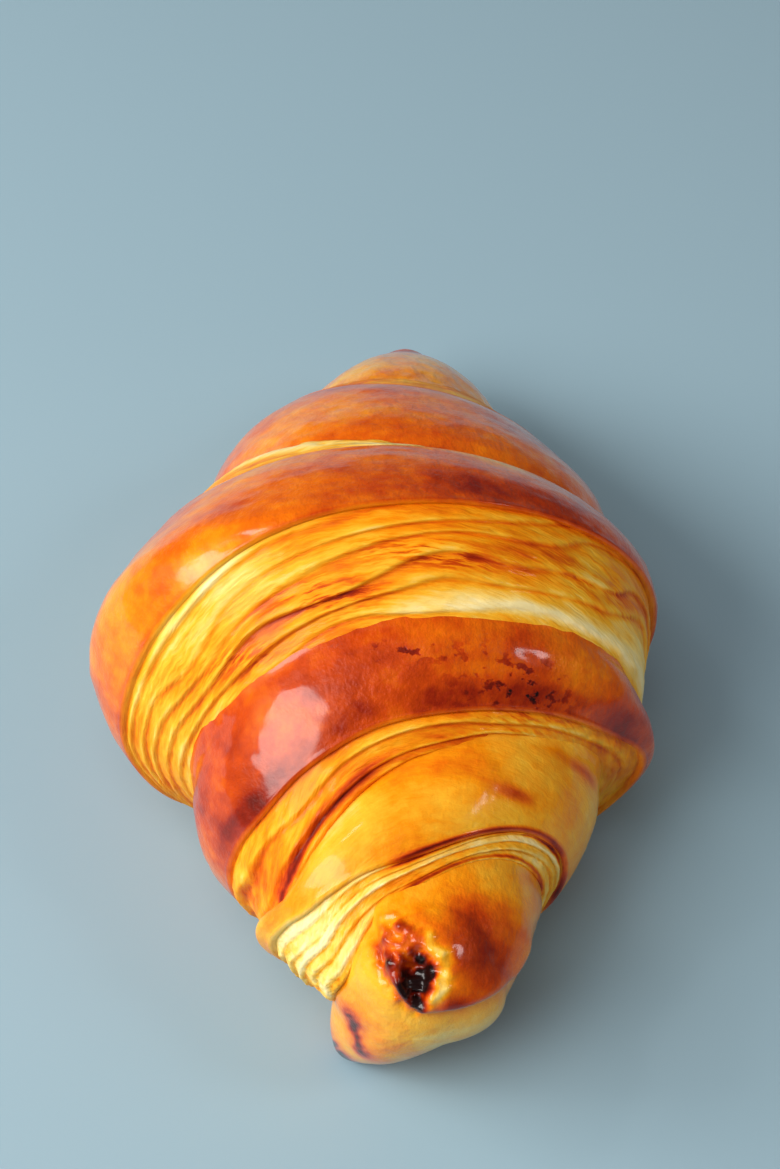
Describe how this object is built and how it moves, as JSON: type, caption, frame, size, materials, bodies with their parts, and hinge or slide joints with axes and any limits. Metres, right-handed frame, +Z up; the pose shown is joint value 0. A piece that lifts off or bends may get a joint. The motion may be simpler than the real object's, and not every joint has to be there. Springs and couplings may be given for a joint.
{
  "type": "butter croissant",
  "caption": "Baked butter croissant: rolled laminated dough with stepped crust bands, a blunt scorched nose and a pointed tip, resting on its flat underside.",
  "frame": {"origin": "centre of the bounding box at the flat underside the croissant rests on", "axes": "+Y along the roll from the blunt nose to the pointed tip, +Z up"},
  "size_m": [0.0852, 0.141, 0.0563],
  "materials": {
    "crust": "egg-washed baked crust, golden to red-brown, glossy"
  },
  "bodies": {
    "root": {"croissant": "crust"}
  },
  "joints": []
}
